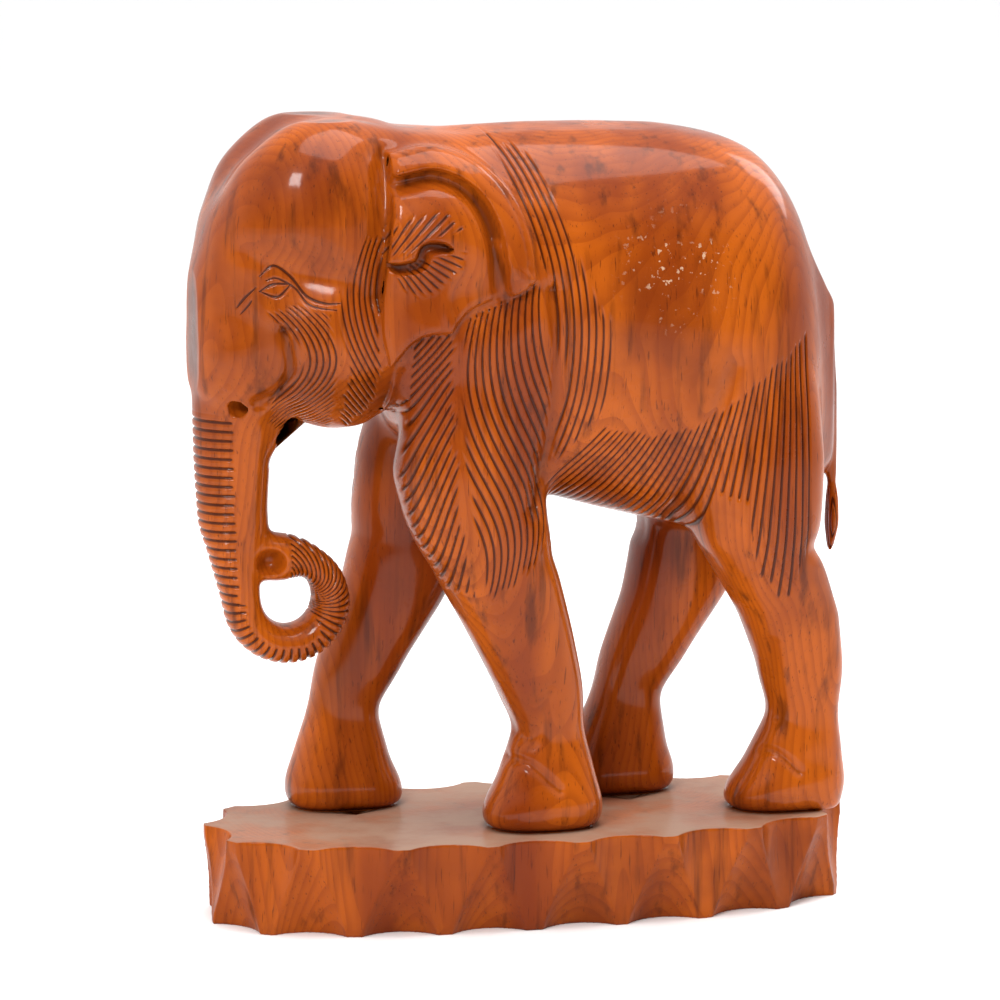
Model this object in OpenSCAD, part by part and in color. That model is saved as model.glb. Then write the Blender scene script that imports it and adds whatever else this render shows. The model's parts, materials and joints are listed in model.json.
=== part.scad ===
// Carved wooden elephant standing on an oval base, trunk curled back under the chin.
// Millimetres. The origin is the centre of the underside of the base, +Z is up,
// the head is towards -X and the left side of the animal is towards -Y.

/* [Overall] */
// Length from the front of the trunk to the back of the tail
overall_l = 418; // [380:1:510]
// Height of the forehead domes above the ground
overall_h = 503; // [480:1:610]
// Width of the barrel
body_w = 176; // [150:1:215]
// How far the animal stands forward of the middle of the base
stance_forward = 3; // [0:1:6]

/* [Base] */
// Thickness of the base
base_h = 58; // [46:1:72]
// How far the base stops short of the trunk and of the tail
base_end_inset = 3; // [0:1:12]
// How far the base runs beyond the barrel at each side
base_side_margin = 5; // [0:1:20]
// How much each long side of the base is drawn in at the ground
base_undercut = 14; // [4:1:20]
// Number of gouged scoops round the top edge, and as many between them round the foot
scoop_count = 18; // [12:1:22]
// Radius of the gouge that cuts the scoops
scoop_r = 32; // [24:1:38]
// Depth of each scoop where it is widest
scoop_depth = 12; // [4:1:14]

/* [Legs] */
// Height of the legs from the base up to the trunk of the body
leg_h = 174; // [145:1:210]
// Length of a foot along the body
foot_l = 77; // [64:1:86]
// Width of a foot
foot_w = 58; // [48:1:64]
// Length of an ankle along the body
ankle_l = 53; // [44:1:64]
// Width of an ankle
ankle_w = 50; // [41:1:58]
// Length of the leg where it meets the body
thigh_l = 82; // [68:1:98]
// Width of the leg where it meets the body
thigh_w = 68; // [56:1:80]
// Distance of the shoulders behind the neck
shoulder_back = 40; // [34:1:48]
// Distance of the hips ahead of the rump
hip_ahead = 65; // [54:1:78]
// Distance of the shoulders and hips from the middle plane
leg_spread = 50; // [44:1:58]

/* [Head] */
// Length of the head from the front of the trunk to the neck
head_l = 124; // [104:1:148]
// Width across the cheeks
head_w = 144; // [120:1:160]
// Height of the mouth above the ground
mouth_h = 334; // [310:1:350]
// Depth of the valley between the two domes of the forehead
dome_valley = 9; // [0:1:14]
// Depth of the lower jaw
jaw_depth = 26; // [18:1:32]
// Width of the lower jaw
jaw_w = 50; // [40:1:60]
// Length of the lower jaw
jaw_l = 66; // [56:1:70]

/* [Tusk sockets] */
// Diameter of the blind hole for a tusk
tusk_d = 12; // [8:1:15]
// Depth of the blind hole
tusk_depth = 16; // [12:1:20]
// Wall of the lip round the hole
tusk_wall = 5; // [3:0.5:7]
// Angle of the tusk below the horizontal
tusk_pitch = 32; // [20:1:40]
// Angle of the tusk away from the middle plane
tusk_splay = 22; // [15:1:30]

/* [Trunk] */
// Thickness of the trunk under the mouth, from front to back
trunk_t = 37; // [31:1:44]
// Width of the trunk
trunk_w = 38; // [32:1:44]
// Thickness of the trunk round the curl
curl_t = 24; // [20:1:28]
// Radius of the middle line of the curl
curl_r = 29; // [26:1:34]
// Drop from the mouth to the middle of the curl
curl_drop = 132; // [112:1:155]

/* [Ears] */
// Length of an ear along the body
ear_l = 94; // [80:1:112]
// Height of an ear
ear_h = 133; // [112:1:158]
// Thickness of an ear
ear_t = 12; // [8:1:15]
// Lean of an ear towards the middle plane
ear_lean = 12; // [8:1:16]

/* [Tail] */
// Thickness of the tail behind the rump
tail_t = 7; // [5:0.5:10]
// Width of the tail
tail_w = 13; // [10:1:17]
// Width of the tuft
tuft_w = 24; // [18:1:30]
// Length of the tail down to the tuft
tail_l = 120; // [100:1:140]
// Length of the tuft
tuft_l = 52; // [42:1:64]

/* [Hidden] */

// Sides of a section, and steps between two stations of a limb
sides = 20;
steps = 2;
// Sides of the base, and steps for measuring round it
base_sides = 48;
outline_steps = 120;
// Sides of a bored hole or a gouge
round_sides = 48;
// How far a cut runs on past the surface that it opens
bite = 4;

// Powers of the superellipses: how square each section is, where 2 is an ellipse
base_power = 2.6;
leg_power = 2.6;
barrel_power = 2.5;
head_power = 2.9;
jaw_power = 2.4;
trunk_power = 2.8;
tail_power = 2.2;

front_x = -overall_l / 2 - stance_forward;
rump_x = overall_l / 2 - stance_forward - tail_t;
neck_x = front_x + head_l;
body_l = rump_x - neck_x;
shoulder_x = neck_x + shoulder_back;
hip_x = rump_x - hip_ahead;
leg_top = base_h + leg_h;
// Drop from the domes of the forehead to the highest part of the back
back_drop = 5;
back_z = overall_h - back_drop;

base_l = overall_l - 2 * base_end_inset;
base_w = body_w + 2 * base_side_margin;

// Each leg: the middle of the foot, ankle, knee and thigh as [ahead or behind, outward],
// measured from the shoulder or the hip and from the leg's own side
left_front_stride = [[48, -11], [53, -10], [32, -5], [12, 0]];
right_front_stride = [[-58, 0], [-60, 0], [-30, 0], [-12, 0]];
left_hind_stride = [[28, -29], [42, -24], [30, -13], [6, 0]];
right_hind_stride = [[-60, 3], [-54, 3], [-22, 1], [-8, 0]];
ankle_rise = 0.36;
knee_rise = 0.74;

// Haunch above a leg, as [height above the leg, inward shift, extra half length, extra half width]
haunch_swell = [55, 0, 6, 1];
haunch_top = [125, 6, -4, -2];
// Rounded end of the haunch inside the barrel: height above the leg and inward shift
haunch_end = [165, 20];
// Shift of a shoulder and of a hip along the body at the swell and at the top
shoulder_sways = [-2, 10];
hip_sways = [6, 8];

tusk_collar_r = tusk_d / 2 + tusk_wall;
// Distance of a tusk socket behind the front of the trunk, and its drop below the mouth
tusk_back = 26;
tusk_drop = 2;
// Clearance between a socket's collar and the trunk, and round the tusk's way out
tusk_gap = 2;
// Length of the way that is cleared ahead of each tusk
tusk_way = 60;
// How far the collar of a socket reaches into the head behind the hole
tusk_root = 12;

trunk_x = front_x + trunk_t / 2;
curl_z = mouth_h - curl_drop;
// How far the curl stands behind the front of the face
curl_setback = 17;
curl_x = front_x + curl_setback + curl_t / 2 + curl_r;
// Stations of the straight trunk: [shift back, drop from the mouth, loss of half thickness,
// tilt of the section]
fall_stations = [[0, 0, 0, 0], [1, 45, 0, 0], [3, 85, 1, 2]];
// The curl's tip: number of steps, angle where it starts and of each step, the step from which
// it spreads towards the trunk and by how much, and what each step loses in thickness and width
tip_steps = 7;
tip_start = 350;
tip_turn = 18;
tip_spread_from = 4;
tip_spread = 3;
tip_thinning = 0.5;
tip_narrowing = 0.8;

// Place of an ear's root: ahead of the neck, above the mouth, and out beyond the barrel
ear_ahead = 21;
ear_rise = 23;
ear_proud = 2;
// How many times its own thickness the room for an ear is deep
ear_room = 3;

// Gap between the trunk and the lip of the lower jaw
lip_gap = 6;
// Height of the root of the tail above the legs
tail_rise = 150;

wood = "sienna";
dark_wood = "saddlebrown";
light_wood = "peru";

// Point of a superellipse of half sizes a and b; power 2 is an ellipse, more is squarer
function squircle_point(a, b, power, angle) = [
    a * sign(cos(angle)) * pow(abs(cos(angle)), 2 / power),
    b * sign(sin(angle)) * pow(abs(sin(angle)), 2 / power)
];

function squircle(a, b, power, count) = [
    for (i = [0 : count - 1]) squircle_point(a, b, power, 360 * i / count)
];

// Smooth curve through a list of stations, whatever each station holds
function curve_at(keys, t) =
    let (
        last = len(keys) - 1,
        i = min(floor(t), last - 1),
        u = t - i,
        before = keys[max(i - 1, 0)],
        a = keys[i],
        b = keys[i + 1],
        after = keys[min(i + 2, last)]
    )
    a + u / 2 * ((b - before)
        + u * ((2 * before - 5 * a + 4 * b - after) + u * (3 * (a - b) + after - before)));

function smooth(keys) = [
    for (k = [0 : steps * (len(keys) - 1)]) curve_at(keys, k / steps)
];

function middle(ring) = [for (p = ring) 1] * ring / len(ring);

// Closed solid through a list of rings that all have the same number of points
module loft(rings) {
    count = len(rings[0]);
    last = len(rings) - 1;
    near_hub = (last + 1) * count;
    far_hub = near_hub + 1;
    polyhedron(
        points = [for (ring = rings) each ring, middle(rings[0]), middle(rings[last])],
        faces = [
            for (r = [0 : last - 1], i = [0 : count - 1])
                let (a = r * count + i, b = r * count + (i + 1) % count)
                    each [[a, b + count, b], [a, a + count, b + count]],
            for (i = [0 : count - 1])
                let (a = i, b = (i + 1) % count)
                    each [
                        [near_hub, a, b],
                        [far_hub, last * count + b, last * count + a]
                    ]
        ]
    );
}

// Level ring about [x, y] at height z
function level_ring(x, y, z, half_l, half_w, power) = [
    for (p = squircle(half_l, half_w, power, sides)) [x + p[0], y + p[1], z]
];

// Upright ring across the body at x, from low to high
function cross_ring(x, low, high, half_w, power) = [
    for (p = squircle(half_w, (high - low) / 2, power, sides))
        [x, p[0], (low + high) / 2 + p[1]]
];

// ---- Base ----

// Point of the outline of the base at the ground (rise 0) or at the top edge (rise 1)
function outline_point(angle, rise) =
    squircle_point(base_l / 2, base_w / 2 - (1 - rise) * base_undercut, base_power, angle);

function base_ring(rise) = [
    for (i = [0 : base_sides - 1])
        let (p = outline_point(360 * i / base_sides, rise)) [p[0], p[1], rise * base_h]
];

// Distance walked round the top edge at each angle, so that the scoops are evenly spaced
outline_angles = [for (i = [0 : outline_steps]) 360 * i / outline_steps];
outline_strides = [
    for (i = [1 : outline_steps])
        norm(outline_point(outline_angles[i], 1) - outline_point(outline_angles[i - 1], 1))
];
function walked(i) = i == 0 ? 0 : walked(i - 1) + outline_strides[i - 1];
angle_table = [for (i = [0 : outline_steps]) [walked(i), outline_angles[i]]];
outline_length = walked(outline_steps);

// One stroke of the gouge down the side, biting to the given depths at the top edge and at
// the ground; a negative depth leaves the side untouched there
module scoop(place, top_bite, foot_bite) {
    angle = lookup(place * outline_length, angle_table);
    top = outline_point(angle, 1);
    foot = outline_point(angle, 0);
    along = outline_point(angle + 1, 1) - outline_point(angle - 1, 1);
    out = [along[1], -along[0]] / norm(along);
    start = foot - foot_bite * out;
    lean = atan(((top - top_bite * out - start) * out) / base_h);
    translate([start[0], start[1], 0])
        rotate([0, 0, atan2(out[1], out[0])])
            rotate([0, lean, 0])
                translate([scoop_r, 0, -base_h / 2])
                    cylinder(r = scoop_r, h = base_h * 2, $fn = round_sides);
}

module base() {
    color(dark_wood)
        difference() {
            loft([base_ring(0), base_ring(1)]);
            for (i = [0 : scoop_count - 1]) {
                scoop((i + 0.25) / scoop_count, scoop_depth, -1);
                scoop((i + 0.75) / scoop_count, -1, scoop_depth);
            }
        }
}

// ---- Legs ----

// Stations of a leg: [x, y, z, half length, half width]
function leg_keys(root_x, side, stride) =
    let (
        knee_l = (ankle_l + thigh_l) / 2,
        knee_w = (ankle_w + thigh_w) / 2,
        rises = [0, ankle_rise, knee_rise, 1],
        lengths = [foot_l, ankle_l, knee_l, thigh_l],
        widths = [foot_w, ankle_w, knee_w, thigh_w]
    )
    [
        for (i = [0 : 3]) [
            root_x + stride[i][0],
            side * (leg_spread + stride[i][1]),
            base_h + rises[i] * leg_h,
            lengths[i] / 2,
            widths[i] / 2
        ]
    ];

function leg_rings(keys) = [
    for (k = smooth(keys)) level_ring(k[0], k[1], k[2], k[3], k[4], leg_power)
];

module leg(root_x, side, stride) {
    color(wood) loft(leg_rings(leg_keys(root_x, side, stride)));
}

module left_front_leg() {
    leg(shoulder_x, -1, left_front_stride);
}

module right_front_leg() {
    leg(shoulder_x, 1, right_front_stride);
}

module left_hind_leg() {
    leg(hip_x, -1, left_hind_stride);
}

module right_hind_leg() {
    leg(hip_x, 1, right_hind_stride);
}

// ---- Torso ----

// Stations of the barrel from neck to rump: [part of the length, rise of the belly above
// the legs, drop of the spine below the back, part of the width]
barrel_stations = [
    [0, 76, 4, 0.84],
    [0.17, 48, 1, 0.96],
    [0.45, 22, 0, 1],
    [0.75, 4, 9, 0.97],
    [0.92, 22, 48, 0.74],
    [1, 44, 112, 0.3]
];

module barrel() {
    loft([
        for (k = smooth(barrel_stations))
            cross_ring(neck_x + k[0] * body_l, leg_top + k[1], back_z - k[2],
                k[3] * body_w / 2, barrel_power)
    ]);
}

// Station of a haunch at a height above the leg, shifted inwards and along the body
function haunch_key(root_x, side, sway, rise, inward, half_l, half_w) =
    [root_x + sway, side * (leg_spread - inward), leg_top + rise, half_l, half_w];

// Shoulder or haunch: carries the top of a leg up into the barrel
module haunch(root_x, side, stride, sways) {
    keys = [
        leg_keys(root_x, side, stride)[3],
        haunch_key(root_x, side, sways[0], haunch_swell[0], haunch_swell[1],
            thigh_l / 2 + haunch_swell[2], thigh_w / 2 + haunch_swell[3]),
        haunch_key(root_x, side, sways[1], haunch_top[0], haunch_top[1],
            thigh_l / 2 + haunch_top[2], thigh_w / 2 + haunch_top[3]),
        haunch_key(root_x, side, sways[1], haunch_end[0], haunch_end[1],
            thigh_l / 4, thigh_w / 4)
    ];
    loft(leg_rings(keys));
}

module torso() {
    color(wood)
        difference() {
            union() {
                barrel();
                haunch(shoulder_x, -1, left_front_stride, shoulder_sways);
                haunch(shoulder_x, 1, right_front_stride, shoulder_sways);
                haunch(hip_x, -1, left_hind_stride, hip_sways);
                haunch(hip_x, 1, right_hind_stride, hip_sways);
            }
            for (side = [-1, 1]) ear_blank(side, ear_t * ear_room);
            jaw_blank();
        }
}

// ---- Head ----

// How far the section peaks above the domes before the valley is cut
crown_rise = 5;
// How far the widest place of the section lies below the middle of its height
head_sink = 8;

// Stations of the head from neck to face: [part of the length, drop of the crown below the
// domes, part of the width, part of the valley]
head_stations = [
    [0, 7, 0.97, 0],
    [0.3, 0, 1, 0.5],
    [0.55, 2, 0.94, 1],
    [0.78, 26, 0.74, 0.9],
    [0.93, 58, 0.48, 0.3],
    [1, 98, 0.3, 0]
];

// Ring across the head: flat under the mouth, with a valley between the domes
function head_ring(x, high, half_w, valley) =
    let (
        peak = high + crown_rise,
        middle = (mouth_h + peak) / 2 - head_sink,
        half_h = peak - middle
    )
    [
        for (p = squircle(half_w, half_h, head_power, sides))
            let (hollow = p[1] > 0 ? valley * pow(1 - abs(p[0]) / half_w, 2) : 0)
                [x, p[0], max(mouth_h, middle + p[1] - hollow)]
    ];

module skull() {
    loft([
        for (i = [len(head_stations) - 1 : -1 : 0])
            let (k = head_stations[i])
                head_ring(neck_x - k[0] * head_l, overall_h - k[1],
                    k[2] * head_w / 2, k[3] * dome_valley)
    ]);
}

// Places its children at the mouth of a tusk socket, with +Z pointing out of the hole
module at_tusk(side) {
    translate([
        front_x + tusk_back,
        side * (trunk_w / 2 + tusk_collar_r + tusk_gap),
        mouth_h - tusk_drop
    ])
        rotate([0, 0, -side * tusk_splay])
            rotate([0, -90 - tusk_pitch, 0])
                children();
}

// The skull with the ears' seats cut away, and the wood ahead of each tusk
module dressed_skull() {
    difference() {
        skull();
        for (side = [-1, 1]) {
            ear_blank(side, ear_t * ear_room);
            at_tusk(side)
                cylinder(r = tusk_collar_r + tusk_gap, h = tusk_way, $fn = round_sides);
        }
    }
}

module head() {
    color(wood)
        difference() {
            union() {
                dressed_skull();
                for (side = [-1, 1])
                    at_tusk(side)
                        translate([0, 0, -tusk_depth - tusk_root])
                            cylinder(r = tusk_collar_r, h = tusk_depth + tusk_root,
                                $fn = round_sides);
            }
            for (side = [-1, 1])
                at_tusk(side)
                    translate([0, 0, -tusk_depth])
                        cylinder(d = tusk_d, h = tusk_depth + bite, $fn = round_sides);
        }
}

// ---- Lower jaw ----

// Stations of the jaw from its root to the lip: [part of the length, part of the depth,
// part of the width]
jaw_stations = [
    [0, 0.9, 1],
    [0.35, 0.85, 0.9],
    [0.65, 0.6, 0.7],
    [0.9, 1, 0.4],
    [1, 0.9, 0.16]
];

module jaw_blank() {
    lip_x = front_x + trunk_t + lip_gap;
    loft([
        for (i = [len(jaw_stations) - 1 : -1 : 0])
            let (k = jaw_stations[i], half_w = k[2] * jaw_w / 2, depth = k[1] * jaw_depth)
                [
                    for (p = squircle(half_w, depth, jaw_power, sides))
                        [lip_x + (1 - k[0]) * jaw_l, p[0], mouth_h + min(p[1], 0)]
                ]
    ]);
}

module lower_jaw() {
    color(light_wood) jaw_blank();
}

// ---- Trunk ----

// Ring across the trunk at [x, z], square to the direction of travel
function trunk_ring(x, z, heading, half_t, half_w) = [
    for (p = squircle(half_t, half_w, trunk_power, sides))
        [x + p[0] * sin(heading), p[1], z - p[0] * cos(heading)]
];

function curl_ring(angle, radius, half_t, half_w) =
    trunk_ring(curl_x + radius * cos(angle), curl_z + radius * sin(angle), angle + 90, half_t,
        half_w);

// From the mouth down the front and on round the curl to its far side
module trunk_fall() {
    loft([
        for (k = fall_stations)
            trunk_ring(trunk_x + k[0], mouth_h - k[1], 270 + k[3], trunk_t / 2 - k[2],
                trunk_w / 2),
        for (angle = [180 : 20 : 360]) curl_ring(angle, curl_r, curl_t / 2, trunk_w / 2)
    ]);
}

// From the far side of the curl up and over to the tip, which grows into the back of the trunk
module trunk_tip() {
    loft([
        for (k = [0 : tip_steps])
            curl_ring(tip_start + tip_turn * k, curl_r + max(0, k - tip_spread_from) * tip_spread,
                curl_t / 2 - k * tip_thinning, trunk_w / 2 - k * tip_narrowing)
    ]);
}

module trunk() {
    color(wood)
        union() {
            trunk_fall();
            trunk_tip();
        }
}

// ---- Ears ----

// Outline of an ear from its root, as [part of the length, part of the height]: a rounded
// top and back, a pointed back corner and a scalloped lower edge
ear_outline = [
    [0.02, 0.35], [0, 0.75], [0.06, 0.93], [0.22, 1], [0.45, 0.98], [0.7, 0.87], [0.88, 0.68],
    [0.97, 0.47], [1, 0.33], [0.8, 0.25], [0.68, 0.17], [0.45, 0.14], [0.25, 0.06], [0.02, 0]
];

// Ear blank that reaches outwards by depth from the seat of the ear
module ear_blank(side, depth) {
    translate([neck_x - ear_ahead, side * (body_w / 2 + ear_proud - ear_t), mouth_h + ear_rise])
        rotate([side * ear_lean + 90, 0, 0])
            translate([0, 0, side > 0 ? -depth : 0])
                linear_extrude(depth)
                    polygon([for (p = ear_outline) [p[0] * ear_l, p[1] * ear_h]]);
}

module left_ear() {
    color(light_wood) ear_blank(-1, ear_t);
}

module right_ear() {
    color(light_wood) ear_blank(1, ear_t);
}

// ---- Tail ----

// Level ring with a flat side against the rump
function tail_ring(z, half_w, thickness) = [
    for (p = squircle(thickness, half_w, tail_power, sides)) [rump_x + max(p[0], 0), p[1], z]
];

// Stations of the tail and of the tuft, upwards: [part of the length, part of the width,
// part of the thickness]
tail_stations = [[0, 0.9, 1], [0.5, 0.8, 1], [1, 0.5, 0.5]];
tuft_stations = [[0, 0.3, 0.4], [0.5, 1, 1.1], [1, 0.5, 1]];

// Length of tail down to a foot, through its stations
module tail_length(stations, foot_z, length, width) {
    color(dark_wood)
        loft([
            for (k = smooth(stations))
                tail_ring(foot_z + k[0] * length, k[1] * width / 2, k[2] * tail_t)
        ]);
}

module tail() {
    tail_length(tail_stations, leg_top + tail_rise - tail_l, tail_l, tail_w);
}

module tail_tuft() {
    tail_length(tuft_stations, leg_top + tail_rise - tail_l - tuft_l, tuft_l, tuft_w);
}

base();
torso();
head();
lower_jaw();
trunk();
left_ear();
right_ear();
left_front_leg();
right_front_leg();
left_hind_leg();
right_hind_leg();
tail();
tail_tuft();
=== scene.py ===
import json
import math

import bmesh
import bpy
import numpy as np
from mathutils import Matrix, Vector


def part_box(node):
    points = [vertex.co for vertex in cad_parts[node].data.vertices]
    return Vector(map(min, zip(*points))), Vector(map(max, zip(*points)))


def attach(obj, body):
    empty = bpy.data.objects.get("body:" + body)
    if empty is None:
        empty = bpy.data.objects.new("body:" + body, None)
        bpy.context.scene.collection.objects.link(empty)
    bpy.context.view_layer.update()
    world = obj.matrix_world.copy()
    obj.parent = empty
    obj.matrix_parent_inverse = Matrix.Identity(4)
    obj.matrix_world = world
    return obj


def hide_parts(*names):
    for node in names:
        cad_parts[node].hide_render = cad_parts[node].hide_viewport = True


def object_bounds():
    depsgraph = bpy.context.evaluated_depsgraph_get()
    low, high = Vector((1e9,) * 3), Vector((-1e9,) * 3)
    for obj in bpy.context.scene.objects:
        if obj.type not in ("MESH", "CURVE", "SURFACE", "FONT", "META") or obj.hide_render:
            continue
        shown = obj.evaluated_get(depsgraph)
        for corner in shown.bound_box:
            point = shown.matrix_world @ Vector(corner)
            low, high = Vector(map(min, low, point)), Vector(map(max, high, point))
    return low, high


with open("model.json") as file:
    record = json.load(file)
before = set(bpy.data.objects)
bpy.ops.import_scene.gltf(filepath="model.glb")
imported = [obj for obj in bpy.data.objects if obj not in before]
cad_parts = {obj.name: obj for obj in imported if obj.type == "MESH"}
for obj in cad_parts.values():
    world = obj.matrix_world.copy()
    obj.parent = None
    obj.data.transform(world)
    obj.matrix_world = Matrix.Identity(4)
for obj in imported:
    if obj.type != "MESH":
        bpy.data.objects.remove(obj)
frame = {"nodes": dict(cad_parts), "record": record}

import openvdb as vdb
from mathutils import Vector

# The CAD nodes are joined into one block of clay, a grid of distances to the surface, and the
# block is sculpted, turned into a mesh, grooved with the carver's strokes and sawn back into one
# closed piece for each node. The sculpting works in millimetres, in the frame of the CAD model.
MM = 0.001
VOXEL = 1.25
# How far distances are kept on each side of a surface, and the room round the model
REACH = 16 * VOXEL
MARGIN = 6 * VOXEL

NODES = sorted(frame["nodes"])
cad_low, cad_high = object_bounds()
LOWEST = np.array(cad_low) / MM
HIGHEST = np.array(cad_high) / MM
LEFT, RIGHT = LOWEST[1], HIGHEST[1]


# ---- Places, read from the frame ----


def lowest(node):
    """The lowest corner of a CAD node, in millimetres."""
    return np.array(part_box(node)[0]) / MM


def highest(node):
    """The highest corner of a CAD node, in millimetres."""
    return np.array(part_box(node)[1]) / MM


trunk_low, trunk_high = lowest("trunk"), highest("trunk")
ear_low, ear_high = lowest("left_ear"), highest("left_ear")

FRONT = trunk_low[0]
BACK = max(highest("tail")[0], highest("tail_tuft")[0])
FLOOR = highest("base")[2]
CROWN = highest("head")[2]
LEG_TOP = lowest("torso")[2]
NECK = highest("head")[0]
MOUTH = trunk_high[2]
RUMP = highest("torso")[0]
TAIL_TOP = highest("tail")[2]
TUFT_TOP = highest("tail_tuft")[2]


def across(part):
    """The place along X at a part of the animal's length, from the front of its trunk."""
    return FRONT + part * (BACK - FRONT)


def upward(part):
    """The height at a part of the animal's height, from its feet."""
    return FLOOR + part * (CROWN - FLOOR)


def placed(parts):
    """Points given as parts of the animal's length and height, in millimetres."""
    return [(across(u), upward(v)) for u, v in parts]


def slab(low_x, low_z, high_x, high_z):
    """The corners of a block that runs through the carving from side to side."""
    return (low_x, LEFT, low_z), (high_x, RIGHT, high_z)


# ---- Curves and shapes ----

# Further than anything in the block
FAR = 1e6


def curve(points, steps=6):
    """A smooth curve through a few points."""
    points = np.array(points, float)
    ends = 2 * points[0] - points[1], 2 * points[-1] - points[-2]
    padded = np.vstack([ends[0], points, ends[1]])
    out = []
    for before, a, b, after in zip(padded, padded[1:], padded[2:], padded[3:]):
        for t in np.arange(steps) / steps:
            bend = 2 * before - 5 * a + 4 * b - after
            turn = 3 * (a - b) + after - before
            out.append(a + t / 2 * ((b - before) + t * (bend + t * turn)))
    out.append(points[-1])
    return np.array(out)


def ramp(value, start, end):
    """0 up to start, 1 from end on, and a smooth rise between them."""
    t = np.clip((value - start) / (end - start), 0, 1)
    return t * t * (3 - 2 * t)


def hill(value, width):
    """1 where the value is 0, and a smooth fall to nothing on both sides of it."""
    return np.exp(-(value / width) ** 2)


def straight_gap(x, z, start, end):
    """Square of the distance from a straight line, and the part of it at the nearest point."""
    (ax, az), (ex, ez) = start, end - start
    t = np.clip(((x - ax) * ex + (z - az) * ez) / (ex * ex + ez * ez), 0, 1)
    return (x - ax - t * ex) ** 2 + (z - az - t * ez) ** 2, t


def outline_distance(outline, x, z):
    """Distance from a closed outline in the side view, less than 0 inside it."""
    points = np.array(outline, float)
    nearest = np.full(np.broadcast(x, z).shape, FAR ** 2)
    inside = np.zeros(nearest.shape, bool)
    for start, end in zip(points, np.roll(points, -1, 0)):
        nearest = np.minimum(nearest, straight_gap(x, z, start, end)[0])
        (ax, az), (bx, bz) = start, end
        if az != bz:
            crosses = (az > z) != (bz > z)
            inside ^= crosses & (x < ax + (z - az) * (bx - ax) / (bz - az))
    return np.where(inside, -1, 1) * np.sqrt(nearest)


def line_distance(points, x, z):
    """Distance from an open line in the side view, and how far along it the nearest point is."""
    nearest = np.full(np.broadcast(x, z).shape, FAR ** 2)
    along = np.zeros(nearest.shape)
    last = len(points) - 1
    for i, (start, end) in enumerate(zip(points, points[1:])):
        gap, t = straight_gap(x, z, start, end)
        closer = gap < nearest
        nearest = np.where(closer, gap, nearest)
        along = np.where(closer, (i + t) / last, along)
    return np.sqrt(nearest), along


# ---- Clay ----


def read(items, name, width=1, kind=np.float32):
    """One property of every item of a mesh, as rows of that width."""
    values = np.empty(len(items) * width, kind)
    items.foreach_get(name, values)
    return values.reshape(-1, width) if width > 1 else values


def grid_of(node, size, origin):
    """Distances to a CAD node's surface over the whole block."""
    mesh = frame["nodes"][node].data
    mesh.calc_loop_triangles()
    points = (read(mesh.vertices, "co", 3) / MM - origin) / VOXEL
    triangles = read(mesh.loop_triangles, "vertices", 3, np.int32)
    solid = vdb.FloatGrid.createLevelSetFromPolygons(
        points.astype(np.float32),
        triangles=triangles.astype(np.uint32),
        halfWidth=REACH / VOXEL,
    )
    block = np.empty(size, np.float32)
    solid.copyToArray(block, ijk=(0, 0, 0))
    return block * VOXEL


def blend_min(a, b, width):
    """The nearer of two surfaces, with a fillet of about that width where they meet."""
    near = np.maximum(width - np.abs(a - b), 0) / width
    return np.minimum(a, b) - near * near * (width / 4)


def blurred(block, radius, rounds=2):
    """The block averaged over a box of that radius in millimetres, along each axis in turn."""
    half = max(1, round(radius / VOXEL))
    for _ in range(rounds):
        for axis in range(3):
            pad = [(0, 0)] * 3
            pad[axis] = (half + 1, half)
            total = np.cumsum(np.pad(block, pad, mode="edge"), axis=axis, dtype=np.float32)
            count = 2 * half + 1
            ahead = [slice(None)] * 3
            behind = [slice(None)] * 3
            ahead[axis] = slice(count, None)
            behind[axis] = slice(0, -count)
            block = (total[tuple(ahead)] - total[tuple(behind)]) / count
    return block


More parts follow.
